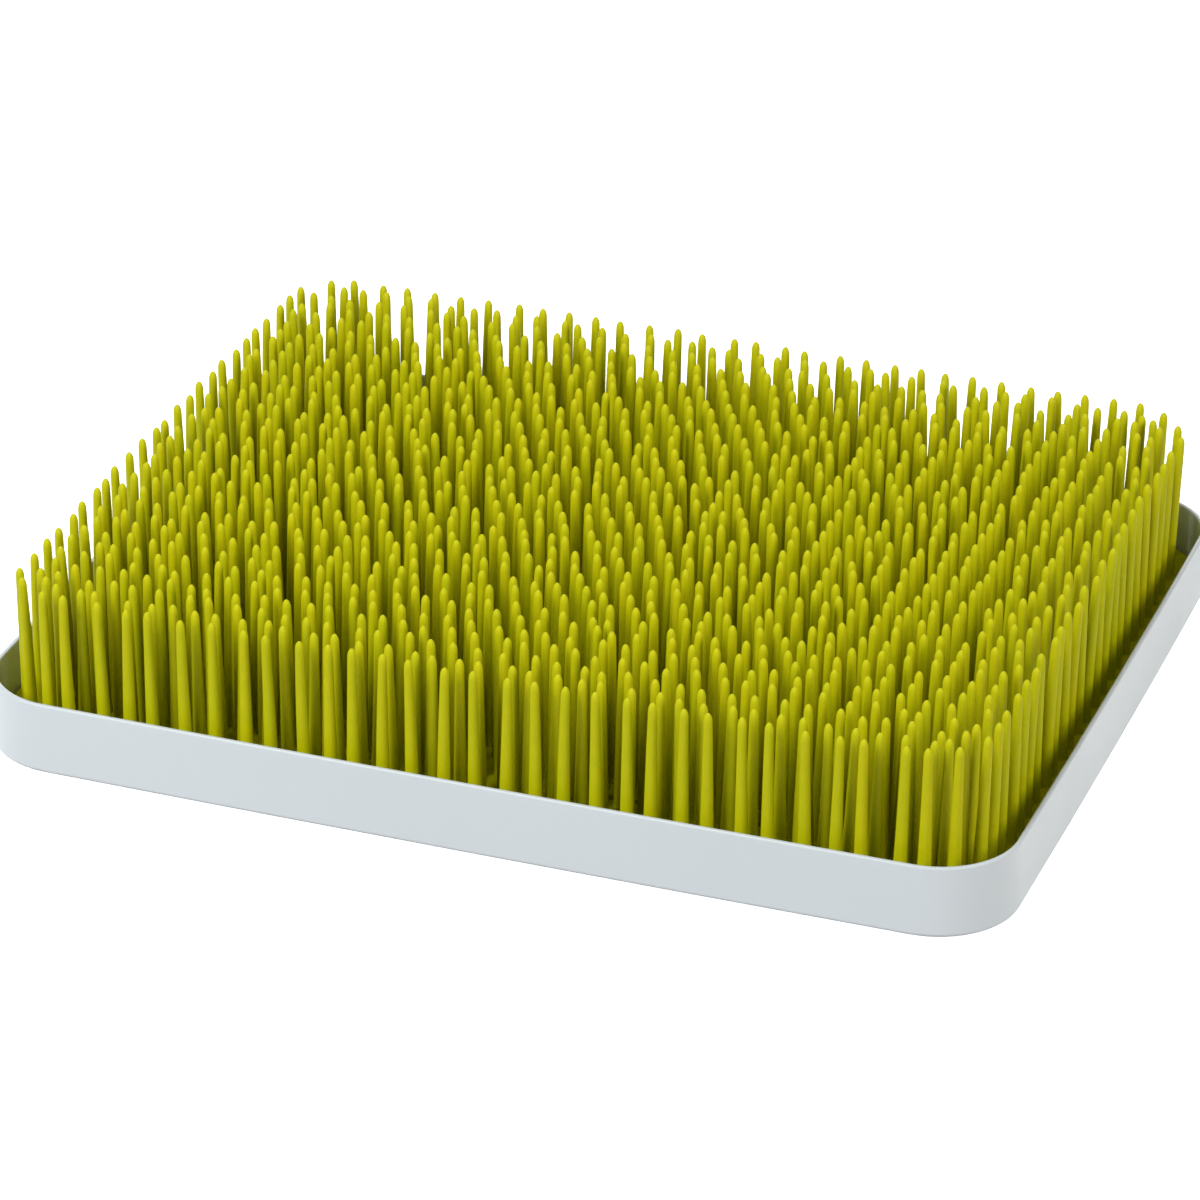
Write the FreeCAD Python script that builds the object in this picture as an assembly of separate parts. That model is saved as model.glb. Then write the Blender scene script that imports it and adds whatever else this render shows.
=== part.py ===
"""Countertop bottle drying rack: a shallow tray that catches the water, and a lift-out insert whose
deck carries a dense field of upright, tapered, flexible blades that hold bottles and small parts.

Frame: millimetres, +Z up. The origin is on the surface that the tray stands on, under its centre.
+X runs along the tray's long side and -Y points to its front.
"""
import FreeCAD, Part
import math
import os
import random
from FreeCAD import Vector

# Tray, measured over its bowed sides
TRAY_LENGTH = 392.0
TRAY_DEPTH = 316.0
TRAY_HEIGHT = 28.0
TRAY_CORNER_RADIUS = 31.4
SIDE_BOW = 1.1              # how far the middle of each side bows out past its ends
WALL = 1.9
FLOOR = 2.2
BOTTOM_EDGE_RADIUS = 1.6
INNER_EDGE_RADIUS = 3.0
RIM_RADIUS = 0.7

# Lift-out insert: deck and feet
INSERT_GAP = 1.0            # all round, between the deck's edge and the tray's wall
DECK_TOP = 9.2
DECK_THICKNESS = 2.0
DECK_UNDERSIDE = DECK_TOP - DECK_THICKNESS
FOOT_TOP_RADIUS = 4.0
FOOT_BOTTOM_RADIUS = 3.25
FOOT_COLUMNS = 5
FOOT_ROWS = 4
FOOT_PITCH = 80.0
DRAIN_SIDE = 3.0            # the drain holes are square
DRAIN_CLEARANCE = 5.1       # least distance from a drain hole's centre to a blade's
DRAIN_EVERY = 2             # every second gap between rows has drain holes

# Blades: one border ring that follows the tray's edge, and straight rows inside it
BORDER_LENGTH = 365.4       # between the roots of opposite border blades
BORDER_DEPTH = 296.2
BORDER_CORNER_RADIUS = 22.0
BORDER_BLADES = 115
BORDER_STEPS = 20           # places along the border from each blade to the next
BORDER_SHIFT = 3            # most places that a border blade stands off its own
BORDER_SCATTER = 0.4        # most that it stands off the border line
BORDER_INSET = 8.5          # from the border to the outermost roots inside it
INNER_LENGTH = BORDER_LENGTH - 2 * BORDER_INSET
INNER_DEPTH = BORDER_DEPTH - 2 * BORDER_INSET
INNER_CORNER_RADIUS = BORDER_CORNER_RADIUS - BORDER_INSET
BLADE_ROWS = 31
BLADES_PER_ROW = (39, 38)   # odd and even rows, so that the rows don't line up
BLADE_LENGTH = 59.8
BLADE_TIP_RADIUS = 1.6
BLADE_TAPER = 1.1           # degrees, between a blade's side and its axis
ROOT_TRIM = 0.3             # trimmed off below the deck's top, so that a leaning blade ends flat
SCATTER = 1.7               # most that a root stands off its place in its row
LEAST_ROOT_SPACING = 5.7    # between any two blades
LEAST_TIP_SPACING = 3.9
LEAN_SCATTER = 1.05         # degrees, most that a blade leans at random
EDGE_SPLAY = 1.3            # degrees that the outermost blades lean outwards
SEED = 7


def rounded_block(length, depth, radius, z, height):
    """A block with bowed sides and round corners, standing on the plane z."""
    x, y = length / 2 - SIDE_BOW, depth / 2 - SIDE_BOW
    corners = [(-x, -y), (x, -y), (x, y), (-x, y)]
    middles = [(0, -depth / 2), (length / 2, 0), (0, depth / 2), (-length / 2, 0)]
    sides = []
    for i, middle in enumerate(middles):
        start, end = corners[i], corners[(i + 1) % 4]
        sides.append(Part.Arc(*[Vector(px, py, z) for px, py in (start, middle, end)]).toShape())
    block = Part.Face(Part.Wire(sides)).extrude(Vector(0, 0, height))
    upright = [edge for edge in block.Edges if abs(edge.BoundBox.ZLength - height) < 1e-6]
    return block.makeFillet(radius, upright)


def flat_edges(shape, z):
    """The edges of shape that lie flat at height z."""
    boxes = [(edge, edge.BoundBox) for edge in shape.Edges]
    return [edge for edge, box in boxes if box.ZLength < 1e-6 and abs(box.ZMin - z) < 1e-6]


def make_tray():
    """The open tray: floor, wall, softened bottom edge and rounded rim."""
    shell = rounded_block(TRAY_LENGTH, TRAY_DEPTH, TRAY_CORNER_RADIUS, 0, TRAY_HEIGHT)
    shell = shell.makeFillet(BOTTOM_EDGE_RADIUS, flat_edges(shell, 0))
    inner_radius = TRAY_CORNER_RADIUS - WALL
    well = rounded_block(TRAY_LENGTH - 2 * WALL, TRAY_DEPTH - 2 * WALL, inner_radius, FLOOR, TRAY_HEIGHT)
    well = well.makeFillet(INNER_EDGE_RADIUS, flat_edges(well, FLOOR))
    tray = shell.cut(well)
    return tray.makeFillet(RIM_RADIUS, flat_edges(tray, TRAY_HEIGHT))


def spread(count, index, span):
    """The place of one of count points spread evenly over span, about its middle."""
    return (index / (count - 1) - 0.5) * span


def pulled_in(x, y):
    """(x, y), moved onto the inner field's rounded corner where it lies outside it."""
    centre_x = math.copysign(INNER_LENGTH / 2 - INNER_CORNER_RADIUS, x)
    centre_y = math.copysign(INNER_DEPTH / 2 - INNER_CORNER_RADIUS, y)
    dx, dy = x - centre_x, y - centre_y
    reach = math.hypot(dx, dy)
    if dx * x <= 0 or dy * y <= 0 or reach <= INNER_CORNER_RADIUS:
        return x, y
    shrink = INNER_CORNER_RADIUS / reach
    return centre_x + dx * shrink, centre_y + dy * shrink


def border_places(draw):
    """The roots of the border blades, all the way round."""
    ring = rounded_block(BORDER_LENGTH, BORDER_DEPTH, BORDER_CORNER_RADIUS, DECK_TOP, 1)
    line = Part.Wire(Part.__sortEdges__(flat_edges(ring, DECK_TOP)))
    count = BORDER_BLADES * BORDER_STEPS
    points = line.discretize(Number=count + 1)
    places = []
    for k in range(BORDER_BLADES):
        point = points[(k * BORDER_STEPS + draw.randint(-BORDER_SHIFT, BORDER_SHIFT)) % count]
        step_x = draw.uniform(-BORDER_SCATTER, BORDER_SCATTER)
        step_y = draw.uniform(-BORDER_SCATTER, BORDER_SCATTER)
        places.append((point.x + step_x, point.y + step_y))
    return places


def row_places(draw, j):
    """The roots of one inner row, left to right."""
    count = BLADES_PER_ROW[j % 2]
    places = []
    for i in range(count):
        x = spread(count, i, INNER_LENGTH) + draw.uniform(-SCATTER, SCATTER)
        y = spread(BLADE_ROWS, j, INNER_DEPTH) + draw.uniform(-SCATTER, SCATTER)
        places.append(pulled_in(x, y))
    return places


def lean(draw, place, half_span):
    """A blade's lean in degrees along one axis: outwards near the edge, with a random part."""
    return EDGE_SPLAY * (place / half_span) ** 3 + draw.uniform(-LEAN_SCATTER, LEAN_SCATTER)


def tip_place(x, y, lean_x, lean_y):
    """The point over which a blade's tip stands."""
    reach_x = BLADE_LENGTH * math.tan(math.radians(lean_x))
    reach_y = BLADE_LENGTH * math.tan(math.radians(lean_y))
    return x + reach_x, y + reach_y


def stands_clear(blade, others):
    """Whether a blade keeps its distance from all the others, at the root and at the tip."""
    tip = tip_place(*blade)
    return all(
        math.dist(blade[:2], other[:2]) > LEAST_ROOT_SPACING
        and math.dist(tip, tip_place(*other)) > LEAST_TIP_SPACING
        for other in others
    )


def blade_field():
    """The border, then each row from the front: (root x, root y, lean along x, lean along y)."""
    draw = random.Random(SEED)
    lines = [border_places(draw)] + [row_places(draw, j) for j in range(BLADE_ROWS)]
    standing = []
    field = []
    for line in lines:
        kept = []
        for x, y in line:
            lean_x = lean(draw, x, BORDER_LENGTH / 2)
            lean_y = lean(draw, y, BORDER_DEPTH / 2)
            blade = (x, y, lean_x, lean_y)
            if stands_clear(blade, standing):
                kept.append(blade)
                standing.append(blade)
        field.append(kept)
    return field


def upright_blade():
    """One upright blade with its root on the origin: a tapered round stem with a domed tip."""
    taper = math.radians(BLADE_TAPER)
    dome_centre = BLADE_LENGTH - BLADE_TIP_RADIUS
    neck_radius = BLADE_TIP_RADIUS * math.cos(taper)
    neck_height = dome_centre + BLADE_TIP_RADIUS * math.sin(taper)
    bottom_radius = neck_radius + (neck_height + ROOT_TRIM) * math.tan(taper)
    bottom = Vector(0, 0, -ROOT_TRIM)
    edge = Vector(bottom_radius, 0, -ROOT_TRIM)
    neck = Vector(neck_radius, 0, neck_height)
    diagonal = BLADE_TIP_RADIUS * math.sqrt(0.5)
    tip = Vector(0, 0, BLADE_LENGTH)
    dome = Part.Arc(neck, Vector(diagonal, 0, dome_centre + diagonal), tip).toShape()
    sides = [Part.makeLine(bottom, edge), Part.makeLine(edge, neck), dome, Part.makeLine(tip, bottom)]
    return Part.Face(Part.Wire(sides)).revolve(Vector(0, 0, 0), Vector(0, 0, 1), 360)


def make_blades(line, pattern):
    """The blades of the border or of one row, each leaning about its root and ending flat on the deck."""
    blades = []
    for x, y, lean_x, lean_y in line:
        along = Vector(math.tan(math.radians(lean_x)), math.tan(math.radians(lean_y)), 1)
        blade = pattern.copy()
        turn = FreeCAD.Rotation(Vector(0, 0, 1), along)
        blade.Placement = FreeCAD.Placement(Vector(x, y, DECK_TOP), turn)
        blades.append(blade)
    corner = Vector(-TRAY_LENGTH / 2, -TRAY_DEPTH / 2, DECK_UNDERSIDE)
    below = Part.makeBox(TRAY_LENGTH, TRAY_DEPTH, DECK_THICKNESS, corner)
    return Part.makeCompound(Part.makeCompound(blades).cut(below).Solids)


def foot_places():
    """The feet's centres, in rows from the front."""
    half_x, half_y = (FOOT_COLUMNS - 1) / 2, (FOOT_ROWS - 1) / 2
    places = [(i - half_x, j - half_y) for j in range(FOOT_ROWS) for i in range(FOOT_COLUMNS)]
    return [(x * FOOT_PITCH, y * FOOT_PITCH) for x, y in places]


def make_feet():
    """Tapered posts that hold the deck up off the tray's floor."""
    height = DECK_UNDERSIDE - FLOOR
    return Part.makeCompound([
        Part.makeCone(FOOT_BOTTOM_RADIUS, FOOT_TOP_RADIUS, height, Vector(x, y, FLOOR))
        for x, y in foot_places()
    ])


def drain_places(field):
    """Places for drain holes: between two neighbours in a row, clear of all blades and feet."""
    roots = [(x, y) for line in field for x, y, _, _ in line]
    rows = field[1:]
    places = []
    for j in range(0, BLADE_ROWS - 1, DRAIN_EVERY):
        y = spread(BLADE_ROWS, j + 0.5, INNER_DEPTH)
        for left, right in zip(rows[j], rows[j][1:]):
            x = (left[0] + right[0]) / 2
            off_blades = all(math.hypot(x - rx, y - ry) > DRAIN_CLEARANCE for rx, ry in roots)
            off_feet = all(
                math.hypot(x - fx, y - fy) > FOOT_TOP_RADIUS + DRAIN_SIDE for fx, fy in foot_places()
            )
            if off_blades and off_feet:
                places.append((x, y))
    return places


def make_deck(field):
    """The plate that carries the blades, with its drain holes."""
    inset = WALL + INSERT_GAP
    deck = rounded_block(
        TRAY_LENGTH - 2 * inset, TRAY_DEPTH - 2 * inset, TRAY_CORNER_RADIUS - inset,
        DECK_UNDERSIDE, DECK_THICKNESS,
    )
    places = drain_places(field)
    print("drain holes", len(places))
    half = DRAIN_SIDE / 2
    bottom = DECK_UNDERSIDE - DECK_THICKNESS
    height = 3 * DECK_THICKNESS
    drains = [
        Part.makeBox(DRAIN_SIDE, DRAIN_SIDE, height, Vector(x - half, y - half, bottom))
        for x, y in places
    ]
    return deck.cut(Part.makeCompound(drains))


def main():
    os.makedirs("parts", exist_ok=True)
    field = blade_field()
    print("blades", sum(len(line) for line in field))
    nodes = {"tray": make_tray(), "insert_deck": make_deck(field), "insert_feet": make_feet()}
    pattern = upright_blade()
    nodes["blade_border"] = make_blades(field[0], pattern)
    for j, row in enumerate(field[1:]):
        nodes["blade_row_%02d" % (j + 1)] = make_blades(row, pattern)
    for name, shape in nodes.items():
        shape.exportStep("parts/%s.step" % name)
        print(name, "solids", len(shape.Solids), "volume", round(shape.Volume), "valid", shape.isValid())


main()
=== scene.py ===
"""Looks of the bottle drying rack: a white drip tray and a lime-green insert of upright blades."""
import math
import random

import bmesh
import bpy
from mathutils import Matrix, Vector


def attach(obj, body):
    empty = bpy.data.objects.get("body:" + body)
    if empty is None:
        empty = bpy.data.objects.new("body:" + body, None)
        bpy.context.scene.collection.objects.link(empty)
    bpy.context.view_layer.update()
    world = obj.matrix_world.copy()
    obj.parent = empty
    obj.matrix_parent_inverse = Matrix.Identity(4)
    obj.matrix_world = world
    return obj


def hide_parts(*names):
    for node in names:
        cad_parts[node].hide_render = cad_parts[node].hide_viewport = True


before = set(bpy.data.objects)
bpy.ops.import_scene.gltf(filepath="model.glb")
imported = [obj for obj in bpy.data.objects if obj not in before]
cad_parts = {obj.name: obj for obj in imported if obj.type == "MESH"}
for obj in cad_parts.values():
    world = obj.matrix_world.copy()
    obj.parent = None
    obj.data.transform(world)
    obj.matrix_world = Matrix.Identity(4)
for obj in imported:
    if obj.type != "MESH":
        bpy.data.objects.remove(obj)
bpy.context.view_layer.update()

MM = 0.001

# Reading the CAD blades
WELD = 0.001 * MM           # corners of the mesh closer than this are one
ROOT_BAND = 0.01 * MM       # the root ring's corners are this close to the lowest one

# Blades
SIDES = 14
ROOT_SINK = 0.2 * MM        # how far a blade reaches into the deck
DOME_HEIGHT = 3.3 * MM
DOME_ANGLES = (18, 36, 52, 66, 78)      # degrees from the dome's foot to each of its rings
NECK_SHARE = 0.59           # a blade's radius below its dome, as a share of that at its root
STEM_SHARES = (0.25, 0.5, 0.75, 1.0)    # ring heights between the flare and the dome
FLARE_HEIGHT = 1.6 * MM
FLARE_SHARES = (0.0, 0.25, 0.55, 1.0)   # ring heights within the flare
FLARE = 0.3 * MM            # how much wider a blade is where it meets the deck
BOW = 0.35 * MM             # most that a blade's middle stands off its straight line
BLADE_SEED = 11

# Grass plastic
GRASS_DARK = (0.453, 0.447, 0.0012)
GRASS_LIGHT = (0.491, 0.467, 0.0017)
GRASS_GREENER = (0.362, 0.411, 0.0012)
GREENER_MOST = 0.35         # share of it in the greenest blade
GRASS_TIP_HIGHLIGHT = (0.560, 0.550, 0.012)
TIP_START = 0.90            # share of a blade's length where its tip starts to get paler, a painted highlight of the light from above
TIP_HIGHLIGHT_MOST = 0.30

# Tray plastic: the band round the rounded top edge is painted darker, painted shade that tones down the
# light that edge catches from above
TRAY_DARK = (0.572, 0.626, 0.660)
TRAY_LIGHT = (0.592, 0.640, 0.670)
TRAY_RIM_PAINTED_SHADE = (0.510, 0.560, 0.590)
RIM_BOTTOM = 27.2 * MM
RIM_TOP = 27.8 * MM

# Camera
TARGET = Vector((-21.6, 45.2, 0)) * MM
AZIMUTH = math.radians(19.26)
ELEVATION = math.radians(27.17)
ROLL = math.radians(0.75)
DISTANCE = 2.2558
LENS = 175.5
SENSOR_WIDTH = 36

# Stage
FLOOR_GLOW = 0.75
FLOOR_HALF = 6.0
FLOOR_DROP = 0.05 * MM      # the floor lies this far below the tray, so that they don't share a plane
SKY = 0.30


# ---------------------------------------------------------------- materials

def new_material(name):
    """A material with a Principled shader, its node tree and that shader."""
    material = bpy.data.materials.new(name)
    material.use_nodes = True
    tree = material.node_tree
    return material, tree, tree.nodes["Principled BSDF"]


def noise(tree, coordinates, scale, detail=3.0, roughness=0.5):
    """A noise texture's value, with scale in waves per metre."""
    node = tree.nodes.new("ShaderNodeTexNoise")
    node.inputs["Scale"].default_value = scale
    node.inputs["Detail"].default_value = detail
    node.inputs["Roughness"].default_value = roughness
    tree.links.new(coordinates, node.inputs["Vector"])
    return node.outputs["Fac"]


def remap(tree, value, low, high, to_low, to_high):
    """value moved from low..high to to_low..to_high and held within it."""
    node = tree.nodes.new("ShaderNodeMapRange")
    for index, number in enumerate((low, high, to_low, to_high), start=1):
        node.inputs[index].default_value = number
    tree.links.new(value, node.inputs["Value"])
    return node.outputs["Result"]


def mixed(tree, factor, first, second):
    """A colour between first and second."""
    node = tree.nodes.new("ShaderNodeMix")
    node.data_type = "RGBA"
    tree.links.new(factor, node.inputs["Factor"])
    sockets = [socket for socket in node.inputs if socket.type == "RGBA"]
    for socket, colour in zip(sockets, (first, second)):
        if isinstance(colour, tuple):
            socket.default_value = (*colour, 1)
        else:
            tree.links.new(colour, socket)
    return next(socket for socket in node.outputs if socket.type == "RGBA")


def bumped(tree, shader, layers):
    """Stacks bumps on shader, each a (height value, depth in metres) pair."""
    normal = None
    for height, depth in layers:
        node = tree.nodes.new("ShaderNodeBump")
        node.inputs["Strength"].default_value = 1.0
        node.inputs["Distance"].default_value = depth
        tree.links.new(height, node.inputs["Height"])
        if normal is not None:
            tree.links.new(normal, node.inputs["Normal"])
        normal = node.outputs["Normal"]
    tree.links.new(normal, shader.inputs["Normal"])


def object_coordinates(tree):
    """The place on the piece, in metres."""
    return tree.nodes.new("ShaderNodeTexCoord").outputs["Object"]


def height_above_table(tree, coordinates):
    """The height part of coordinates, in metres."""
    node = tree.nodes.new("ShaderNodeSeparateXYZ")
    tree.links.new(coordinates, node.inputs["Vector"])
    return node.outputs["Z"]


def attribute(tree, name):
    """A number stored on the mesh under that name."""
    node = tree.nodes.new("ShaderNodeAttribute")
    node.attribute_name = name
    return node.outputs["Fac"]


def grass_material(name, per_blade):
    """Satin, slightly translucent lime-green plastic; per_blade varies it from blade to blade."""
    material, tree, shader = new_material(name)
    place = object_coordinates(tree)
    mottle = remap(tree, noise(tree, place, 160.0), 0.35, 0.65, 0.0, 1.0)
    colour = mixed(tree, mottle, GRASS_DARK, GRASS_LIGHT)
    if per_blade:
        greener = remap(tree, attribute(tree, "blade_tint"), 0.0, 1.0, 0.0, GREENER_MOST)
        colour = mixed(tree, greener, colour, GRASS_GREENER)
        # painted highlight: each blade is paler towards its tip, as where the light from above falls on
        # it
        tip = remap(tree, attribute(tree, "blade_height"), TIP_START, 1.0, 0.0, TIP_HIGHLIGHT_MOST)
        colour = mixed(tree, tip, colour, GRASS_TIP_HIGHLIGHT)
    tree.links.new(colour, shader.inputs["Base Color"])
    rough = remap(tree, noise(tree, place, 900.0), 0.3, 0.7, 0.50, 0.62)
    tree.links.new(rough, shader.inputs["Roughness"])
    shader.inputs["IOR"].default_value = 1.46
    shader.inputs["Specular IOR Level"].default_value = 0.12
    shader.inputs["Subsurface Weight"].default_value = 0.05
    shader.inputs["Subsurface Radius"].default_value = (1.0, 1.0, 0.15)
    shader.inputs["Subsurface Scale"].default_value = 1.5 * MM
    grain = noise(tree, place, 2600.0, 2.0)
    ripple = noise(tree, place, 220.0, 2.0)
    bumped(tree, shader, [(ripple, 0.05 * MM), (grain, 0.012 * MM)])
    return material


def tray_material():
    """Satin white moulded plastic with a fine grain and faint smudges."""
    material, tree, shader = new_material("tray_white_plastic")
    place = object_coordinates(tree)
    cloud = remap(tree, noise(tree, place, 9.0, 4.0), 0.3, 0.7, 0.0, 1.0)
    colour = mixed(tree, cloud, TRAY_DARK, TRAY_LIGHT)
    # painted shade: the band round the top edge is darkened to tone down the highlight from the light
    # above
    rim_painted_shade = remap(tree, height_above_table(tree, place), RIM_BOTTOM, RIM_TOP, 0.0, 1.0)
    colour = mixed(tree, rim_painted_shade, colour, TRAY_RIM_PAINTED_SHADE)
    tree.links.new(colour, shader.inputs["Base Color"])
    smudge = noise(tree, place, 28.0, 6.0, 0.65)
    rough = remap(tree, smudge, 0.3, 0.75, 0.36, 0.50)
    tree.links.new(rough, shader.inputs["Roughness"])
    shader.inputs["IOR"].default_value = 1.49
    shader.inputs["Specular IOR Level"].default_value = 0.45
    shader.inputs["Subsurface Weight"].default_value = 0.08
    shader.inputs["Subsurface Radius"].default_value = (1.0, 1.0, 1.0)
    shader.inputs["Subsurface Scale"].default_value = 1.0 * MM
    peel = noise(tree, place, 420.0, 2.0)
    grain = noise(tree, place, 3200.0, 2.0)
    bumped(tree, shader, [(peel, 0.02 * MM), (grain, 0.008 * MM)])
    return material


def floor_material():
    """A diffuse white that also glows, so that the table shows as plain white."""
    material, tree, shader = new_material("white_table")
    shader.inputs["Base Color"].default_value = (0.9, 0.9, 0.9, 1)
    shader.inputs["Roughness"].default_value = 1.0
    shader.inputs["Specular IOR Level"].default_value = 0.0
    shader.inputs["Emission Color"].default_value = (1, 1, 1, 1)
    shader.inputs["Emission Strength"].default_value = FLOOR_GLOW
    return material


# ---------------------------------------------------------------- blades

def blades_in(node):
    """Each blade of a CAD node as (root centre, root radius, tip)."""
    mesh = bmesh.new()
    mesh.from_mesh(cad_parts[node].data)
    bmesh.ops.remove_doubles(mesh, verts=mesh.verts, dist=WELD)
    found = []
    seen = set()
    for start in mesh.verts:
        if start in seen:
            continue
        seen.add(start)
        island = [start]
        for vertex in island:
            for edge in vertex.link_edges:
                other = edge.other_vert(vertex)
                if other not in seen:
                    seen.add(other)
                    island.append(other)
        points = [vertex.co.copy() for vertex in island]
        lowest = min(point.z for point in points)
        ring = [point for point in points if point.z < lowest + ROOT_BAND]
        left, right = min(p.x for p in ring), max(p.x for p in ring)
        front, back = min(p.y for p in ring), max(p.y for p in ring)
        root = Vector(((left + right) / 2, (front + back) / 2, lowest))
        found.append((root, (back - front) / 2, max(points, key=lambda point: point.z)))
    mesh.free()
    return found


def profile(length, root_radius, neck_radius):
    """A blade's outline from root to tip as (height, radius) pairs, without the tip itself."""
    stem = length - DOME_HEIGHT
    outline = []
    for height in [-ROOT_SINK] + [share * FLARE_HEIGHT for share in FLARE_SHARES]:
        outward = FLARE * (1 - max(height, 0) / FLARE_HEIGHT) ** 2
        straight = root_radius + (neck_radius - root_radius) * height / stem
        outline.append((height, straight + outward))
    for share in STEM_SHARES:
        height = FLARE_HEIGHT + share * (stem - FLARE_HEIGHT)
        outline.append((height, root_radius + (neck_radius - root_radius) * height / stem))
    for angle in DOME_ANGLES:
        turn = math.radians(angle)
        outline.append((stem + DOME_HEIGHT * math.sin(turn), neck_radius * math.cos(turn)))
    return outline


def add_blade(mesh, layers, draw, root, root_radius, tip):
    """Adds one blade to mesh, from its root on the deck to its tip, with a faint random bow."""
    axis = tip - root
    length = axis.length
    axis.normalize()
    across = axis.orthogonal().normalized()
    other = axis.cross(across)
    bow_way = draw.uniform(0, math.tau)
    bow = BOW * draw.random()
    tint = draw.random()
    twist = draw.uniform(0, math.tau)
    neck_radius = NECK_SHARE * root_radius

    def point(height, radius, angle):
        share = max(height, 0) / length
        bend = 4 * bow * share * (1 - share)
        along = root + axis * height
        along += (across * math.cos(bow_way) + other * math.sin(bow_way)) * bend
        return along + (across * math.cos(angle) + other * math.sin(angle)) * radius

    def vertex(co, height):
        made = mesh.verts.new(co)
        made[layers["blade_tint"]] = tint
        made[layers["blade_height"]] = max(height, 0) / length
        return made

    rings = []
    for height, radius in profile(length, root_radius, neck_radius):
        angles = [twist + math.tau * k / SIDES for k in range(SIDES)]
        rings.append([vertex(point(height, radius, angle), height) for angle in angles])
    for lower, upper in zip(rings, rings[1:]):
        for k in range(SIDES):
            after = (k + 1) % SIDES
            mesh.faces.new((lower[k], lower[after], upper[after], upper[k]))
    mesh.faces.new(list(reversed(rings[0])))
    top = vertex(tip, length)
    for k in range(SIDES):
        mesh.faces.new((rings[-1][k], rings[-1][(k + 1) % SIDES], top))


def make_row(node, material, draw):
    """The visible blades of one CAD node, as one smooth piece."""
    mesh = bmesh.new()
    names = ("blade_tint", "blade_height")
    layers = {name: mesh.verts.layers.float.new(name) for name in names}
    for root, root_radius, tip in blades_in(node):
        add_blade(mesh, layers, draw, root, root_radius, tip)
    data = bpy.data.meshes.new(node + "_blades")
    mesh.to_mesh(data)
    mesh.free()
    data.polygons.foreach_set("use_smooth", [True] * len(data.polygons))
    data.materials.append(material)
    piece = bpy.data.objects.new(node + "_blades", data)
    bpy.context.scene.collection.objects.link(piece)
    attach(piece, "insert")
    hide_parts(node)


def make_blades():
    """The visible blades of the border and of every row."""
    material = grass_material("grass_blade_plastic", per_blade=True)
    draw = random.Random(BLADE_SEED)
    for node in sorted(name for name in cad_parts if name.startswith("blade_")):
        make_row(node, material, draw)


def dress(node, material):
    """Gives a CAD node its detailed material."""
    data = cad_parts[node].data
    data.materials.clear()
    data.materials.append(material)


# ---------------------------------------------------------------- stage, light and camera

def make_floor():
    """A large square floor that shows as white but throws no soft light back onto the rack."""
    data = bpy.data.meshes.new("floor")
    corners = [(-1, -1), (1, -1), (1, 1), (-1, 1)]
    places = [(x * FLOOR_HALF, y * FLOOR_HALF, -FLOOR_DROP) for x, y in corners]
    data.from_pydata(places, [], [(0, 1, 2, 3)])
    data.materials.append(floor_material())
    floor = bpy.data.objects.new("floor", data)
    floor.visible_diffuse = False
    bpy.context.scene.collection.objects.link(floor)


def make_sky():
    """Even white light from all round."""
    world = bpy.data.worlds.new("studio")
    world.use_nodes = True
    background = world.node_tree.nodes["Background"]
    background.inputs["Color"].default_value = (1, 1, 1, 1)
    background.inputs["Strength"].default_value = SKY
    bpy.context.scene.world = world


def direction(azimuth, elevation):
    """The way from the rack to a point at that azimuth, 0 in front and 90 on the right, in radians."""
    level = math.cos(elevation)
    return Vector((math.sin(azimuth) * level, -math.cos(azimuth) * level, math.sin(elevation)))


def add_softbox(name, azimuth, elevation, distance, size, power, colour=(1, 1, 1)):
    """A square soft light facing the rack, with its angles in degrees."""
    outward = direction(math.radians(azimuth), math.radians(elevation))
    data = bpy.data.lights.new(name, "AREA")
    data.shape = "SQUARE"
    data.size = size
    data.energy = power
    data.color = colour
    light = bpy.data.objects.new(name, data)
    light.location = outward * distance
    light.rotation_euler = (-outward).to_track_quat("-Z", "Y").to_euler()
    bpy.context.scene.collection.objects.link(light)


def make_camera():
    """The camera, turned a little about its own axis."""
    back = direction(AZIMUTH, ELEVATION)
    data = bpy.data.cameras.new("camera")
    data.lens = LENS
    data.sensor_width = SENSOR_WIDTH
    data.clip_start = 0.05
    data.clip_end = 100
    camera = bpy.data.objects.new("camera", data)
    upright = (-back).to_track_quat("-Z", "Y").to_matrix().to_4x4()
    place = Matrix.Translation(TARGET + back * DISTANCE)
    camera.matrix_world = place @ upright @ Matrix.Rotation(ROLL, 4, "Z")
    bpy.context.scene.collection.objects.link(camera)
    bpy.context.scene.camera = camera


bpy.context.scene.view_settings.view_transform = "Standard"
make_camera()
make_blades()
deck_plastic = grass_material("grass_deck_plastic", per_blade=False)
dress("insert_deck", deck_plastic)
dress("insert_feet", deck_plastic)
dress("tray", tray_material())
make_floor()
make_sky()
add_softbox("key", azimuth=-32, elevation=40, distance=2.2, size=1.2, power=47)
add_softbox("sweep", azimuth=195, elevation=16, distance=2.8, size=1.8, power=34)
add_softbox("fill", azimuth=75, elevation=28, distance=3.0, size=1.8, power=52, colour=(1.0, 0.96, 0.915))
